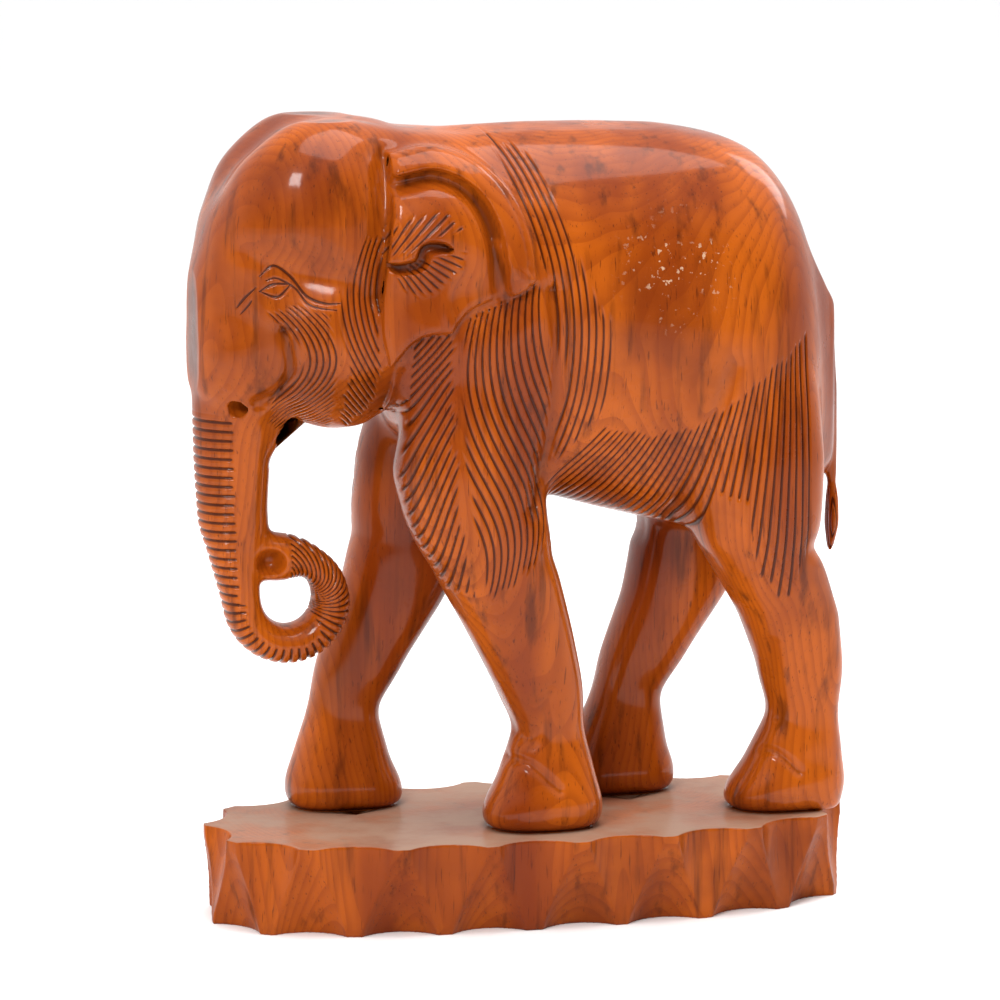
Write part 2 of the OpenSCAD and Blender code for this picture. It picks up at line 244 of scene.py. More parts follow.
class Clay:
    """A block of distances to the surface in millimetres, less than 0 in the wood."""

    def __init__(self):
        self.origin = LOWEST - MARGIN
        spread = HIGHEST + MARGIN - self.origin
        self.size = tuple(int(math.ceil(s / VOXEL)) + 1 for s in spread)
        self.axes = [self.origin[i] + VOXEL * np.arange(self.size[i]) for i in range(3)]
        self.block = np.full(self.size, REACH, np.float32)
        self.owner = np.zeros(self.size, np.uint8)
        self.nearest = np.full(self.size, FAR, np.float32)

    def join(self, node):
        """Adds a CAD node."""
        solid = grid_of(node, self.size, self.origin)
        self.own(node, solid, tuple(slice(0, count) for count in self.size))
        np.minimum(self.block, solid, out=self.block)

    def own(self, node, solid, slices):
        """Marks the places that are nearer to this solid than to any before it."""
        nearest = self.nearest[slices]
        closer = solid < nearest
        self.owner[slices][closer] = NODES.index(node)
        self.nearest[slices] = np.minimum(nearest, solid)

    def window(self, low, high):
        """The slices of the block between two corners, and the places in them."""
        slices, places = [], []
        for i in range(3):
            start = max(0, int((low[i] - self.origin[i]) / VOXEL))
            end = min(self.size[i], int((high[i] - self.origin[i]) / VOXEL) + 2)
            slices.append(slice(start, end))
            shape = [1, 1, 1]
            shape[i] = end - start
            places.append(self.axes[i][start:end].reshape(shape))
        return tuple(slices), places

    def around(self, shape, margin):
        """The slices of the block that a shape reaches, and the distances to it there."""
        slices, (x, y, z) = self.window(*shape.span(margin))
        return slices, shape.distance(x, np.abs(y), z)

    def add(self, shape, width):
        """Adds a shape with a fillet of that width."""
        slices, solid = self.around(shape, width)
        self.block[slices] = blend_min(self.block[slices], solid, width)

    def cut(self, shape, width):
        """Takes a shape away, rounding the edges that it leaves."""
        slices, solid = self.around(shape, width)
        self.block[slices] = -blend_min(-self.block[slices], solid, width)

    def press(self, relief, low, high):
        """Raises the surface by a function of place, or lowers it where that is less than 0."""
        slices, (x, y, z) = self.window(low, high)
        self.block[slices] -= relief(x, np.abs(y), z)

    def sample(self, block, points):
        """The values of a block at some points, read between its grid points."""
        place = (points - self.origin) / VOXEL
        place = np.clip(place, 0, np.array(self.size) - 1.001)
        cell = place.astype(int)
        part = place - cell
        total = np.zeros(len(points))
        for corner in np.ndindex(2, 2, 2):
            step = np.array(corner)
            weight = np.prod(np.where(step == 1, part, 1 - part), axis=1)
            total += weight * block[tuple((cell + step).T)]
        return total

    def owners(self, points):
        """The CAD node nearest to each point, as its number in NODES."""
        cell = np.round((points - self.origin) / VOXEL).astype(int)
        cell = np.clip(cell, 0, np.array(self.size) - 1)
        return self.owner[tuple(cell.T)]


# ---- Shapes. Each is on both sides of the middle plane, at places (x, distance from it, z) ----


class Egg:
    """An ellipsoid."""

    def __init__(self, centre, radii):
        self.centre = centre
        self.radii = radii

    def span(self, margin):
        cx, ca, cz = self.centre
        rx, ra, rz = (r + margin for r in self.radii)
        return (cx - rx, -ca - ra, cz - rz), (cx + rx, ca + ra, cz + rz)

    def distance(self, x, a, z):
        parts = zip((x, a, z), self.centre, self.radii)
        reach = sum(((p - c) / r) ** 2 for p, c, r in parts)
        return (np.sqrt(reach) - 1) * min(self.radii)


class Cord:
    """A round bar along a line of places, with a radius at each."""

    def __init__(self, places, radii):
        line = curve([(*place, radius) for place, radius in zip(places, radii)], 4)
        self.places = line[:, :3]
        self.radii = line[:, 3]

    def span(self, margin):
        reach = self.radii.max() + margin
        low = self.places.min(0) - reach
        high = self.places.max(0) + reach
        return (low[0], -high[1], low[2]), (high[0], high[1], high[2])

    def distance(self, x, a, z):
        nearest = np.float32(FAR)
        ends = zip(self.places, self.places[1:], self.radii, self.radii[1:])
        for start, end, start_radius, end_radius in ends:
            step = end - start
            away = [p - s for p, s in zip((x, a, z), start)]
            rise = sum(p * s for p, s in zip(away, step))
            t = np.clip(rise / step.dot(step), 0, 1)
            gap = sum((p - t * s) ** 2 for p, s in zip(away, step))
            radius = start_radius + t * (end_radius - start_radius)
            nearest = np.minimum(nearest, np.sqrt(gap) - radius)
        return nearest


class Slope:
    """Everything beyond a plane, between two corners of a block."""

    def __init__(self, place, normal, low, high):
        self.place = place
        self.normal = np.array(normal) / np.linalg.norm(normal)
        self.corners = low, high

    def span(self, margin):
        return self.corners

    def distance(self, x, a, z):
        parts = zip((x, a, z), self.place, self.normal)
        return -sum((p - c) * n for p, c, n in parts)


# ---- Ears ----

EAR_LENGTH = ear_high[0] - ear_low[0]
EAR_HEIGHT = ear_high[2] - ear_low[2]
# How far the ear stands out of its seat, and how deep it goes under it
EAR_PROUD = 6.5
EAR_ROOT_DEPTH = 14
# Width of the rolled rim, what it widens by at the back, and its rise with and without the roll
EAR_RIM = 13
EAR_RIM_SPREAD = 5
EAR_RIM_RISE = 3.5
EAR_ROLL = 2.5
# The channel inside the rim: its distance from the edge, width and depth
EAR_CHANNEL = 19.5
EAR_CHANNEL_WIDTH = 4.5
EAR_CHANNEL_DEPTH = 6
# Place, widths and rise of the lobe, and of the dish under the slit
EAR_ROUNDS = [((0.38, 0.72), (28, 30), 5.5), ((0.45, 0.34), (26, 14), -3)]
# Rise of the ridges, and depths of the slit and of the worn edge
EAR_RIDGE = 2.2
EAR_SLIT = 7
EAR_EDGE = 2.5
# Distance of the ears' seats from the middle plane, at the root; they spread towards the back
# and curve inwards over the shoulder
EAR_SEAT = 71
EAR_SPREAD = 9
EAR_BEND = 0.006
EAR_BEND_Z = ear_low[2] + 0.45 * EAR_HEIGHT


def above_seat(x, a, z):
    """Height above the surface that the ears are seated on."""
    spread = EAR_SPREAD * np.clip((x - ear_low[0]) / EAR_LENGTH, 0, 1)
    fall = np.maximum(z - EAR_BEND_Z, 0)
    steepness = 2 * EAR_BEND * fall
    return (a - EAR_SEAT - spread + EAR_BEND * fall ** 2) / np.sqrt(1 + steepness ** 2)


class Ear:
    """An ear: a rolled rim along the top and the back, a channel inside it, a crowned lobe, and a
    thin lower skin with a scalloped edge. Places in it are parts of the ear's length and height."""

    top = [(0.1, 0.97), (0.36, 1.0), (0.6, 0.96), (0.78, 0.87), (0.9, 0.74), (0.97, 0.58),
           (1.0, 0.39)]
    back_scallop = [(1.0, 0.39), (0.87, 0.33), (0.7, 0.3), (0.56, 0.25), (0.45, 0.15)]
    front_scallop = [(0.45, 0.15), (0.33, 0.15), (0.2, 0.11), (0.06, 0.0)]
    front = [(0.06, 0.0), (0.01, 0.2), (0.04, 0.45), (0.09, 0.7), (0.1, 0.97)]
    slit = [(0.05, 0.47), (0.13, 0.455), (0.24, 0.475), (0.29, 0.54), (0.37, 0.55), (0.44, 0.54)]
    ridges = [[(0.45, 0.17), (0.42, 0.3), (0.5, 0.45)], [(0.97, 0.39), (0.84, 0.45), (0.76, 0.56)]]

    def place(self, u, v):
        return ear_low[0] + u * EAR_LENGTH, ear_low[2] + v * EAR_HEIGHT

    def line(self, parts):
        return curve([self.place(u, v) for u, v in parts])

    def outline(self):
        sides = (self.top, self.back_scallop, self.front_scallop, self.front)
        return np.vstack([self.line(side)[:-1] for side in sides])

    def span(self, margin):
        low = (ear_low[0] - margin, ear_low[1] - margin, ear_low[2] - margin)
        high = (ear_high[0] + margin, -ear_low[1] + margin, ear_high[2] + margin)
        return low, high

    def rolled_rim(self, x, z):
        """The rise of the rim, and the channel that it falls into."""
        gap, _ = line_distance(self.line(self.top), x, z)
        gap = gap - EAR_RIM_SPREAD * ramp(x, self.place(0.35, 0)[0], self.place(0.95, 0)[0])
        rim = 1 - ramp(gap, EAR_RIM - 1, EAR_RIM + 1.5)
        roll = np.sqrt(np.clip(1 - (gap / EAR_RIM * 2 - 1) ** 2, 0, 1))
        channel = EAR_CHANNEL_DEPTH * hill(gap - EAR_CHANNEL, EAR_CHANNEL_WIDTH)
        return (EAR_RIM_RISE + EAR_ROLL * roll) * rim - channel * (1 - rim)

    def slit_depth(self, x, z):
        """The slit, which is narrow at both ends."""
        gap, along = line_distance(self.line(self.slit), x, z)
        width = 1.2 + 2.6 * np.sin(np.pi * along) ** 0.5
        return EAR_SLIT * (1 - ramp(gap, width * 0.4, width * 1.5))

    def height(self, x, z, inside):
        """How far the ear stands out of its seat."""
        height = EAR_PROUD + self.rolled_rim(x, z)
        for centre, widths, rise in EAR_ROUNDS:
            middle_x, middle_z = self.place(*centre)
            height = height + rise * hill(x - middle_x, widths[0]) * hill(z - middle_z, widths[1])
        for ridge in self.ridges:
            gap, _ = line_distance(self.line(ridge), x, z)
            height = height + EAR_RIDGE * hill(gap, 3.5)
        edge = np.sqrt(np.clip(inside, 0, 3) / 3)
        return height - self.slit_depth(x, z) - EAR_EDGE * (1 - edge)

    def distance(self, x, a, z):
        out = above_seat(x, a, z)
        inside = -outline_distance(self.outline(), x, z)
        above = (out - self.height(x, z, inside)) * 0.8
        below = -EAR_ROOT_DEPTH - out
        return np.maximum(np.maximum(above, below), -inside)


class EarBacking(Ear):
    """The flesh of the neck under an ear and a little way round it."""

    overhang = 9

    def distance(self, x, a, z):
        out = above_seat(x, a, z)
        inside = -outline_distance(self.outline(), x, z)
        return np.maximum(np.maximum(out, -3 * EAR_ROOT_DEPTH - out), -inside - self.overhang)


# ---- Sculpting ----

# Radii of the smoothing: of creases, of edges, of the CAD facets and of the barrel's corners
CREASE_BLUR = 7.5
EDGE_BLUR = 2.5
FACET_BLUR = 5
BARREL_BLUR = 14

# Furrows begin this far from the middle plane, and have their full depth a little further out
FURROW_SIDE = 28
FURROW_EASE = 14
# Furrows on the animal's sides: line, half width and depth
FURROWS = [
    # between the temple and the ear
    ([(0.258, 0.95), (0.252, 0.87), (0.247, 0.77)], 9, 5),
    # behind the front leg, up to the ear's back corner
    ([(0.5, 0.77), (0.505, 0.66), (0.5, 0.56), (0.475, 0.47)], 6, 4.5),
    # ahead of the haunch
    ([(0.775, 0.66), (0.735, 0.55), (0.705, 0.45), (0.71, 0.38)], 6, 3),
    # from the corner of the mouth up behind the root of the trunk
    ([(0.11, 0.72), (0.12, 0.67), (0.11, 0.635), (0.08, 0.615)], 4.5, 4.5),
    # the toes of the near front foot, and the crease of its ankle
    ([(0.4, 0.03), (0.43, 0.09), (0.47, 0.1), (0.52, 0.06)], 3, 2),
    ([(0.425, 0.2), (0.48, 0.13), (0.505, 0.2)], 4.5, 2.4),
    # the toes of the near hind foot, and the crease above them
    ([(0.79, 0.03), (0.82, 0.07), (0.865, 0.09), (0.905, 0.06)], 2.6, 2.2),
    ([(0.857, 0.25), (0.867, 0.18), (0.875, 0.135)], 4.5, 2),
    # under the brow
    ([(0.06, 0.83), (0.1, 0.815), (0.15, 0.8), (0.2, 0.79)], 8, 2.2),
]


def furrow(line, width, depth):
    """The relief of one furrow, and the corners of the block that it lies in."""
    points = curve(placed(line))

    def relief(x, a, z):
        gap, _ = line_distance(points, x, z)
        return -depth * hill(gap, width) * ramp(a, FURROW_SIDE, FURROW_SIDE + FURROW_EASE)

    low = points.min(0) - 3 * width
    high = points.max(0) + 3 * width
    return relief, *slab(*low, *high)


def sculpt_head(clay):
    """Domes, cheeks, jaw, lip and temples."""
    x, z = across, upward
    # the two domes of the forehead
    clay.add(Egg((x(0.17), 35, z(0.86)), (49, 33, 55)), 16)
    # cheeks and the round of the jaw
    clay.add(Egg((x(0.19), 46, z(0.69)), (30, 25, 38)), 14)
    clay.add(Egg((x(0.205), 22, z(0.635)), (30, 34, 30)), 14)
    # the cheeks slope in towards the jaw, beside the trunk and, further down, behind it
    slope_top = MOUTH + 50
    beside = slab(FRONT, MOUTH - 4, x(0.11), slope_top)
    behind = slab(x(0.11), MOUTH - 45, NECK - 12, slope_top)
    for corners in (beside, behind):
        clay.cut(Slope((0, 50, MOUTH), (0, 0.62, -0.78), *corners), 12)
    # the lip that hangs behind the trunk
    lip = [(x(0.145), 18, MOUTH - 1), (x(0.122), 16, MOUTH - 11), (x(0.108), 13, MOUTH - 29)]
    clay.add(Cord(lip, [10, 6, 2.5]), 6)
    # the temple falls in behind the brow, round the eye
    clay.cut(Egg((x(0.1), 92, z(0.79)), (34, 32, 22)), 14)


def sculpt_trunk(clay):
    """The root of the trunk, and the tip of its curl."""
    # the root, which the face flows down into
    root = [(across(0.08), 24, upward(0.68)), (across(0.07), 12, upward(0.58)),
            (across(0.065), 2, upward(0.45))]
    clay.add(Cord(root, [25, 19, 17]), 14)
    # the tip of the curl fills the space over its hole
    clay.add(Egg((across(0.125), 0, upward(0.38)), (22, 15, 13)), 6)
    # the nostril's pocket above the hole in the curl
    clay.cut(Egg((across(0.11), 20, upward(0.38)), (10, 18, 10)), 2)


def cut_sockets(clay):
    """The blind holes for the tusks, from the record's mounts."""
    for mount in frame["record"]["mounts"]:
        if mount["kind"] == "bore" and mount["pos_m"][1] > 0:
            mouth = np.array(mount["pos_m"]) / MM
            axis = np.array(mount["axis"])
            radius = mount["dims"]["r_mm"]
            depth = mount["dims"]["length_mm"]
            bottom = mouth - axis * (depth - radius)
            clay.cut(Cord([bottom, mouth + 6 * axis], [radius, radius]), 1)


def soften_facets(clay):
    """Smooths the facets of the CAD solids away, except on the thin tail."""
    x = clay.axes[0][:, None, None]
    share = 1 - ramp(x, RUMP - 24, RUMP - 6)
    clay.block += share.astype(np.float32) * (blurred(clay.block, FACET_BLUR) - clay.block)


def round_back(clay):
    """Rounds the corners of the barrel, from halfway up it."""
    rounded = np.maximum(clay.block, blurred(clay.block, BARREL_BLUR))
    x, z = clay.axes[0][:, None, None], clay.axes[2][None, None, :]
    share = ramp(z, upward(0.5), upward(0.75)) * ramp(x, NECK, NECK + 60)
    share = share * ramp(-x, -RUMP, 8 - RUMP)
    clay.block += share.astype(np.float32) * (rounded - clay.block)


def round_rump(clay):
    """Draws the rump in on both sides of the tail, and over its top."""
    depth = 8
    start, foot = RUMP - 60, upward(0.05)
    tail_root = TAIL_TOP - 15

    def relief(x, a, z):
        beside = depth * ramp(a, 7, 45) * ramp(z, foot, upward(0.55))
        above = depth * ramp(z, tail_root, tail_root + 60)
        return -np.maximum(beside, above) * ramp(x, start, RUMP - 8)

    clay.press(relief, *slab(start, foot, RUMP + MARGIN, CROWN))


def waist_ankles(clay):
    """Draws the ankles in above the feet, and swells the feet below them."""
    ankle, foot = upward(0.14), upward(0.035)
    waist, swell = 3.5, 2.5

    def relief(x, a, z):
        return swell * hill(z - foot, 13) - waist * hill(z - ankle, 20)

    clay.press(relief, *slab(FRONT, FLOOR, RUMP + 5, ankle + 50))


def own_ears(clay):
    """Marks the places that are nearest to each ear."""
    low, high = Ear().span(6)
    for node, start, end in (("left_ear", low[1], 0), ("right_ear", VOXEL, high[1])):
        slices, (x, y, z) = clay.window((low[0], start, low[2]), (high[0], end, high[2]))
        clay.own(node, Ear().distance(x, np.abs(y), z), slices)


def joined_clay():
    """The animal's nodes joined, smoothed, sculpted and set on the base."""
    clay = Clay()
    for node in NODES:
        if node != "base" and not node.endswith("_ear"):
            clay.join(node)
    clay.add(EarBacking(), 2)
    clay.block = np.minimum(clay.block, blurred(clay.block, CREASE_BLUR))
    clay.block = blurred(clay.block, EDGE_BLUR)
    soften_facets(clay)
    round_back(clay)
    round_rump(clay)
    waist_ankles(clay)
    sculpt_head(clay)
    sculpt_trunk(clay)
    for line, width, depth in FURROWS:
        clay.press(*furrow(line, width, depth))
    own_ears(clay)
    clay.add(Ear(), 4)
    cut_sockets(clay)
    clay.join("base")
    return clay


# ---- Strokes of the carver's gouge ----

# Rounds in which the start of the stroke through a point is found
START_ROUNDS = 6


def chance(number):
    """A number from 0 to 1 that looks random, and is always the same for one whole number."""
    value = np.sin(number * 12.9898) * 43758.5453
    return value - np.floor(value)


class Strokes:
    """A family of grooves in the side view. Each groove follows path(start, z), its shift along
    X at a height, from its own start; outline bounds the family, and nodes says which regions
    of the carving it is cut in."""

    # How soft and how ragged the ends of the grooves are
    fade = 4
    stagger = 4
    # The share of the spacing that a groove takes up
    share = 0.62
    # Whether the strokes are cut only in faces that look sideways
    faces_out = True

    def __init__(self, nodes, outline, spacing, depth, path=None):
        self.nodes = nodes
        self.outline = placed(outline)
        self.spacing = spacing
        self.depth = depth
        self.path = path

    def covers(self, labels):
        """Which points lie in the family's nodes."""
        return np.isin(labels, [NODES.index(name) for name in self.nodes])

    def inside(self, x, y, z):
        """How far inside the family's bounds each point is."""
        return -outline_distance(self.outline, x, z)

    def turn(self, x, y, z):
        """The number of the groove at each point, with its fraction on the way to the next."""
        start = x
        for _ in range(START_ROUNDS):
            start = x - self.path(start, z)
        return start / self.spacing

    def groove(self, x, y, z):
        """How much of a groove there is at each point, 0 to 1."""
        turn = self.turn(x, y, z)
        number = np.round(turn)
        ragged = self.stagger * chance(number)
        strength = ramp(self.inside(x, y, z) - ragged, 0, self.fade)
        gap = np.abs(turn - number) * 2
        return (1 - ramp(gap, 0, self.share)) * strength


class Fan(Strokes):
    """Grooves that spread from a centre, a few degrees apart."""

    stagger = 3

    def __init__(self, nodes, outline, centre, step, depth):
        super().__init__(nodes, outline, step, depth)
        self.centre = placed([centre])[0]

    def turn(self, x, y, z):
        return np.degrees(np.arctan2(z - self.centre[1], x - self.centre[0])) / self.spacing


class Rings(Strokes):
    """Grooves across the front of the trunk and on round its curl, which lean over into hairs
    towards the tip."""

    fade = 3
    stagger = 1.5
    faces_out = False
    # Radius of the curl, and the angle round it at which the grooves begin to lean over
    reach = 41
    lean_from = math.radians(150)
    lean = 1.6
    hair_length = 20

    def __init__(self, top, width, spacing, depth):
        super().__init__(("trunk",), [], spacing, depth)
        self.top = top
        self.width = width
        self.centre = trunk_high[0] - self.reach, trunk_low[2] + self.reach

    def around(self, x, z):
        """Angle round the curl from its front, and distance from its middle."""
        cx, cz = self.centre
        angle = np.arctan2(cz - z, cx - x) % (2 * math.pi)
        return angle, np.hypot(x - cx, z - cz)

    def inside(self, x, y, z):
        angle, radius = self.around(x, z)
        longer = self.hair_length * ramp(angle, self.lean_from - 0.5, self.lean_from + 0.3)
        on_curl = radius - (self.reach - 0.65 * self.width) + longer
        on_fall = FRONT + self.width + 0.05 * (self.top - z) - x
        falls = (z > self.centre[1]) & (x < self.centre[0] - self.reach + 2 * self.width)
        return np.minimum(np.where(falls, on_fall, on_curl), self.top - z)

    def turn(self, x, y, z):
        angle, radius = self.around(x, z)
        lean = self.lean * ramp(angle, self.lean_from, self.lean_from + 1.2)
        along = -angle * (self.reach - 4) + lean * (radius - self.reach)
        falls = (z > self.centre[1]) & (x < self.centre[0])
        return np.where(falls, z - self.centre[1], along) / self.spacing


class Hairs(Strokes):
    """Grooves down the length of the tuft."""

    faces_out = False

    def inside(self, x, y, z):
        return TUFT_TOP - 2 - z

    def turn(self, x, y, z):
        return (y + 0.6 * (x - RUMP)) / self.spacing + 0.5


class Mark(Strokes):
    """One groove along a line."""

    def __init__(self, nodes, line, width, depth):
        super().__init__(nodes, [], width, depth)
        self.line = curve(placed(line))

    def inside(self, x, y, z):
        gap, _ = line_distance(self.line, x, z)
        return 2 * self.spacing - gap

    def groove(self, x, y, z):
        gap, along = line_distance(self.line, x, z)
        width = self.spacing * np.sqrt(np.clip(4 * along * (1 - along), 0.1, 1))
        return 1 - ramp(gap, 0.1 * width, width)


def slanted(slope, bend, level):
    """Strokes that lean by slope and bend away from it with the distance from a level."""
    return lambda start, z: slope * (z - level) + bend * (z - level) ** 2


def nested(start, z):
    """Strokes behind the spine, which swing forward and back again as they come down."""
    bend, longest = 0.005, 45
    turn_z = upward(0.7) + 0.85 * (start - across(0.42))
    return bend * np.minimum(z - turn_z, longest) ** 2


def flank_path(start, z):
    """Strokes from the belly to the haunch: the further back, the steeper."""
    places = across(0.55), across(0.69), across(0.88)
    slope = np.interp(start, places, (0.85, 0.38, 0))
    return slope * (z - upward(0.52))


SHOULDER = ("torso", "left_front_leg", "right_front_leg")
HAUNCH = ("torso", "left_hind_leg", "right_hind_leg")
HEAD = ("head",)
CHEEK = ("head", "lower_jaw")
EARS = ("left_ear", "right_ear")
SPINE = [(0.36, 0.8), (0.36, 0.65), (0.358, 0.56), (0.368, 0.47), (0.382, 0.39), (0.4, 0.33)]
ARMPIT = [(0.49, 0.78), (0.505, 0.64), (0.5, 0.5)]

# Outline, spacing, depth and path of each family; a fan has its centre and its step in degrees,
# and a mark has its line, half width and depth
FAMILIES = [
    # shoulder and front leg, ahead of the spine of the herringbone
    Strokes(SHOULDER, SPINE + [(0.34, 0.35), (0.28, 0.4), (0.2, 0.48), (0.15, 0.6), (0.2, 0.8)],
            4.7, 1.3, slanted(0.6, 0.0024, upward(0.6))),
    # shoulder and front leg, behind the spine
    Strokes(SHOULDER, SPINE + [(0.45, 0.36), (0.49, 0.4), (0.51, 0.44)] + ARMPIT[::-1]
            + [(0.42, 0.84)],
            4.3, 1.3, nested),
    # neck, behind the ear
    Strokes(("torso",),
            [(0.42, 0.99), (0.49, 0.96), (0.53, 0.86), (0.56, 0.78), (0.59, 0.73), (0.595, 0.64),
             (0.57, 0.58)] + ARMPIT[::-1] + [(0.46, 0.84)],
            4.6, 1.2, slanted(0, -0.0022, upward(0.71))),
    # belly and haunch
    Strokes(HAUNCH,
            [(0.5, 0.5), (0.57, 0.585), (0.65, 0.575), (0.72, 0.585), (0.8, 0.635), (0.86, 0.68),
             (0.91, 0.71), (0.905, 0.4), (0.88, 0.32), (0.85, 0.31), (0.81, 0.36), (0.79, 0.46),
             (0.76, 0.47), (0.74, 0.38), (0.6, 0.36), (0.5, 0.4)],
            4.8, 1.3, flank_path),
    # cheek, from the temple down to the corner of the jaw
    Strokes(CHEEK,
            [(0.225, 0.86), (0.262, 0.85), (0.265, 0.69), (0.25, 0.6), (0.215, 0.555),
             (0.195, 0.6), (0.195, 0.68), (0.175, 0.75), (0.2, 0.83)],
            3.8, 1.2, slanted(0, 0.007, upward(0.768))),
    # cheek, from under the eye round to the mouth
    Strokes(CHEEK,
            [(0.07, 0.745), (0.13, 0.765), (0.175, 0.755), (0.195, 0.69), (0.195, 0.62),
             (0.21, 0.56), (0.17, 0.545), (0.1, 0.57), (0.09, 0.62), (0.12, 0.66), (0.13, 0.69),
             (0.1, 0.725)],
            3.9, 1.2, slanted(0, -0.017, upward(0.678))),
    Rings(upward(0.6), 21, 5.8, 1.5),
    Hairs(("tail_tuft",), [], 3.6, 1.0),
    # ear, above and below the slit
    Fan(EARS, [(0.235, 0.81), (0.25, 0.87), (0.33, 0.895), (0.38, 0.865), (0.37, 0.848),
               (0.315, 0.838), (0.28, 0.818)],
        (0.19, 0.74), 3.7, 0.9),
    Fan(EARS, [(0.26, 0.795), (0.3, 0.825), (0.38, 0.84), (0.365, 0.795), (0.31, 0.76),
               (0.27, 0.775)],
        (0.22, 0.87), 4.2, 0.9),
    # upper lid, the fold under it, the closed slit and the lines at its front corner
    Mark(HEAD, [(0.075, 0.795), (0.095, 0.81), (0.12, 0.795), (0.14, 0.77), (0.165, 0.76),
                (0.19, 0.76)], 1.5, 1.3),
    Mark(HEAD, [(0.085, 0.79), (0.1, 0.793), (0.125, 0.78), (0.145, 0.757), (0.185, 0.75)], 1.2, 0.9),
    Mark(HEAD, [(0.075, 0.775), (0.095, 0.785), (0.12, 0.785)], 1.3, 1.2),
    Mark(HEAD, [(0.075, 0.775), (0.1, 0.768), (0.12, 0.785)], 1.3, 1.2),
    Mark(HEAD, [(0.045, 0.75), (0.055, 0.765), (0.07, 0.78)], 1.3, 1.0),
    Mark(HEAD, [(0.05, 0.742), (0.06, 0.755), (0.065, 0.763)], 1.1, 0.8),
]


# How far sideways a face looks where the strokes begin, and where they are fully cut
SIDEWAYS = (0.02, 0.25)


def strokes_at(points, normals, labels):
    """How deep the strokes cut at each point, and how much of a groove there is."""
    depth = np.zeros(len(points))
    groove = np.zeros(len(points))
    outward = ramp(normals[:, 1] * np.sign(points[:, 1]), *SIDEWAYS)
    for family in FAMILIES:
        there = family.covers(labels)
        if family.faces_out:
            there &= outward > 0
        mark = family.groove(*points[there].T)
        if family.faces_out:
            mark = mark * outward[there]
        depth[there] = np.maximum(depth[there], mark * family.depth)
        groove[there] = np.maximum(groove[there], mark)
    return depth, groove


def near_strokes(points, labels):
    """Which points lie where strokes are cut, between the grooves as well as in them."""
    touched = np.zeros(len(points), bool)
    margin = 2
    for family in FAMILIES:
        there = np.flatnonzero(family.covers(labels))
        touched[there[family.inside(*points[there].T) > -margin]] = True
    return touched


# ---- Mesh ----


def surface_of(clay):
    """The clay's surface as points in millimetres and four-sided faces."""
    volume = vdb.FloatGrid(REACH / VOXEL)
    volume.copyFromArray((clay.block / VOXEL).astype(np.float32), tolerance=0.0)
    points, quads = volume.convertToQuads(isovalue=0.0)
    return points.astype(float) * VOXEL + clay.origin, quads.astype(np.int64)


def made_mesh(name, points, corners, sizes):
    """A mesh from points, the points at the corners of its faces, and the size of each face."""
    mesh = bpy.data.meshes.new(name)
    mesh.vertices.add(len(points))
    mesh.vertices.foreach_set("co", (points * MM).astype(np.float32).ravel())
    mesh.loops.add(len(corners))
    mesh.loops.foreach_set("vertex_index", corners.astype(np.int32))
    mesh.polygons.add(len(sizes))
    starts = np.cumsum(sizes) - sizes
    mesh.polygons.foreach_set("loop_start", starts.astype(np.int32))
    mesh.update(calc_edges=True)
    return mesh


def mesh_points(mesh):
    return read(mesh.vertices, "co", 3).astype(float) / MM


def mesh_normals(mesh):
    return read(mesh.vertices, "normal", 3).astype(float)


def saw(mesh):
    """Cuts edges along the planes where the regions of the carving meet."""
    along_x, upright = Vector((1, 0, 0)), Vector((0, 0, 1))
    planes = [(upright, LEG_TOP), (along_x, NECK), (upright, MOUTH), (along_x, RUMP),
              (upright, TUFT_TOP)]
    work = bmesh.new()
    work.from_mesh(mesh)
    for normal, place in planes:
        everything = work.verts[:] + work.edges[:] + work.faces[:]
        bmesh.ops.bisect_plane(
            work, geom=everything, dist=1e-6, plane_co=normal * place * MM, plane_no=normal
        )
    work.to_mesh(mesh)
    work.free()


def refine(mesh, wanted):
    """Halves the edges of the faces that strokes are cut in."""
    work = bmesh.new()
    work.from_mesh(mesh)
    work.verts.ensure_lookup_table()
    edges = [e for e in work.edges if wanted[e.verts[0].index] and wanted[e.verts[1].index]]
    bmesh.ops.subdivide_edges(work, edges=edges, cuts=1, use_grid_fill=True)
    work.to_mesh(mesh)
    work.free()


def node_labels(clay, points):
    """The region of the carving that each point lies in, as its node's number in NODES."""
    labels = clay.owners(points)
    x, y, z = points.T
    number = {name: NODES.index(name) for name in NODES}

    def among(*names):
        return np.isin(labels, [number[n] for n in names])

    legs = [name for name in NODES if name.endswith("_leg")]
    labels[among("torso", *legs) & (z > LEG_TOP)] = number["torso"]
    low = among("torso") & (z <= LEG_TOP)
    middle = (NECK + RUMP) / 2
    for side, sign in (("left", -1), ("right", 1)):
        there = low & (y * sign > 0)
        labels[there & (x < middle)] = number[side + "_front_leg"]
        labels[there & (x >= middle)] = number[side + "_hind_leg"]
    neck = among("torso", "head")
    labels[neck & (x > NECK)] = number["torso"]
    labels[neck & (x <= NECK) & (z > MOUTH)] = number["head"]
    labels[among("trunk", "lower_jaw") & (z > MOUTH)] = number["head"]
    return labels


# How much of a groove there is at each point, and how hollow the surface is about it; the materials
# paint shade from both
VALUE_NAMES = ("groove", "edge")
HOLLOW_BLUR = 2.5


def add_values(mesh, name, values):
    attribute = mesh.attributes.new(name, "FLOAT", "POINT")
    attribute.data.foreach_set("value", values.astype(np.float32))


